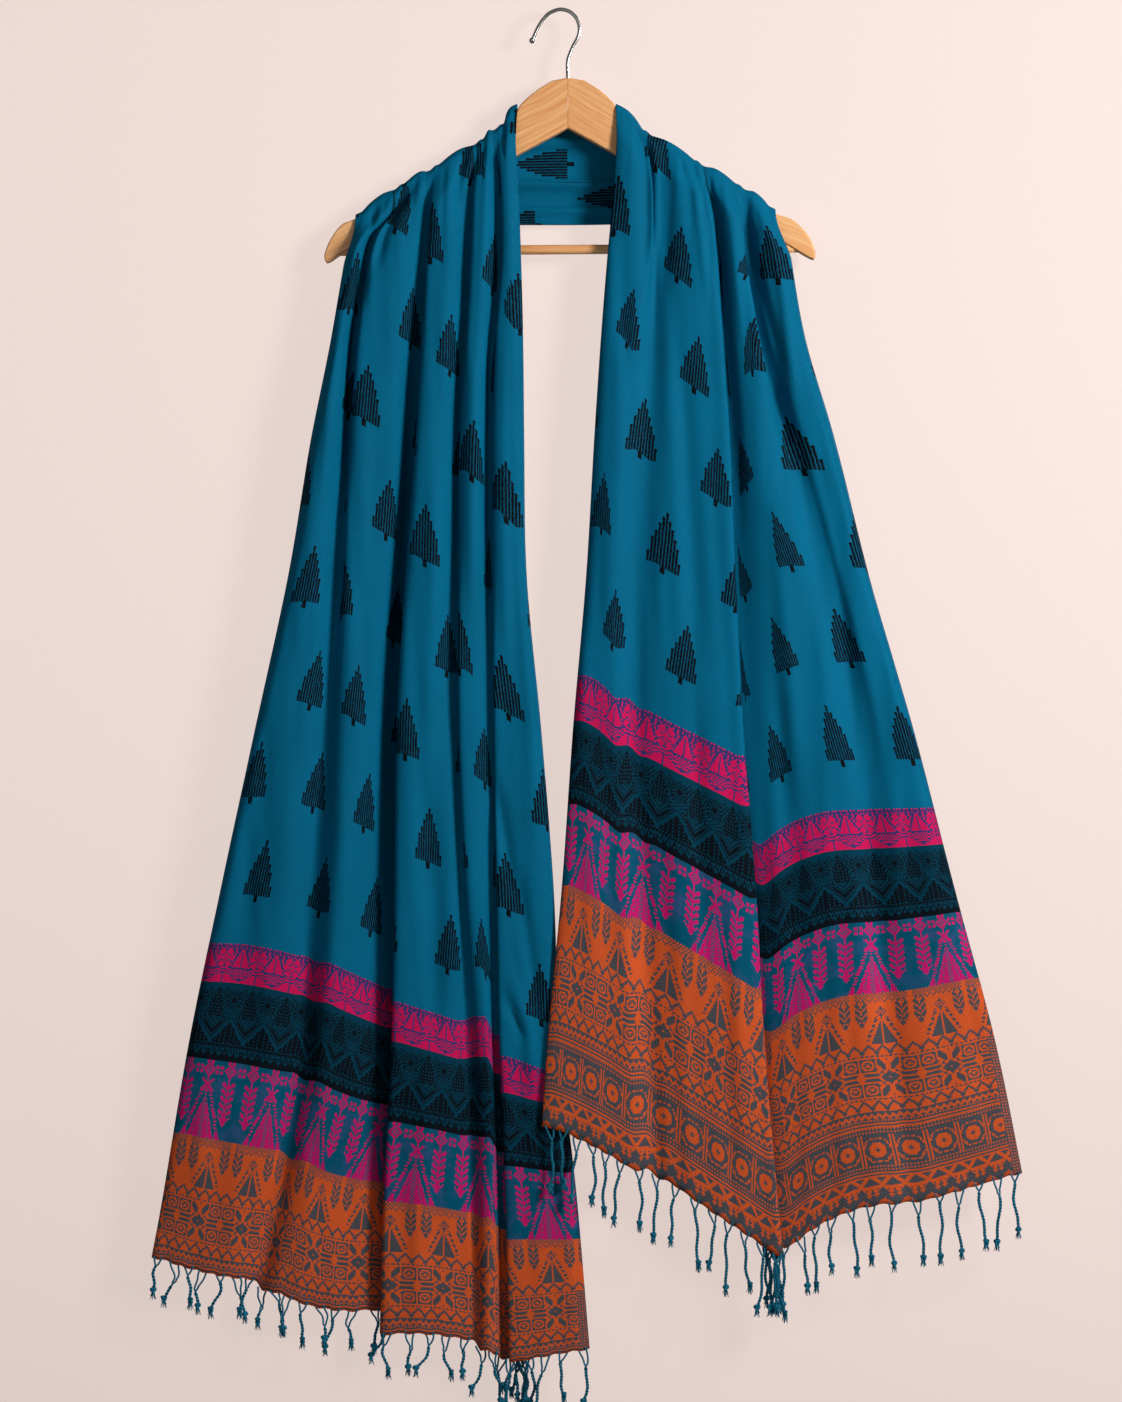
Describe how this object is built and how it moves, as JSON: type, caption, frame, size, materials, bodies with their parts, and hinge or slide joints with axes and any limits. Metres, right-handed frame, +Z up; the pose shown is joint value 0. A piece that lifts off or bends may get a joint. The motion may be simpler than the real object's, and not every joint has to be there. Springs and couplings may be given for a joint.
{
  "type": "jacquard shawl on wooden hanger",
  "caption": "Long fringed jacquard shawl laid round a flat wooden hanger, both ends falling in front, with banded borders, hung by its wire hook.",
  "frame": {"origin": "inside top of the hook's bend, where a rail or peg carries the hanger", "axes": "+Z up, the front of the shawl faces -Y, +X to the viewer's right"},
  "size_m": [0.7702, 0.0518, 1.2646],
  "materials": {
    "hook_wire": "polished steel wire",
    "wood": "clear satin varnish",
    "shawl_cloth": "fine twill with woven figures and banded borders",
    "tassel_yarn": "twisted yarn"
  },
  "bodies": {
    "root": {"hook": "hook_wire", "arm_left": "wood", "arm_right": "wood", "trouser_bar": "wood", "front_left": "shawl_cloth", "front_right": "shawl_cloth", "back_neck": "shawl_cloth", "fringe_left": "tassel_yarn", "fringe_right": "tassel_yarn"}
  },
  "joints": []
}
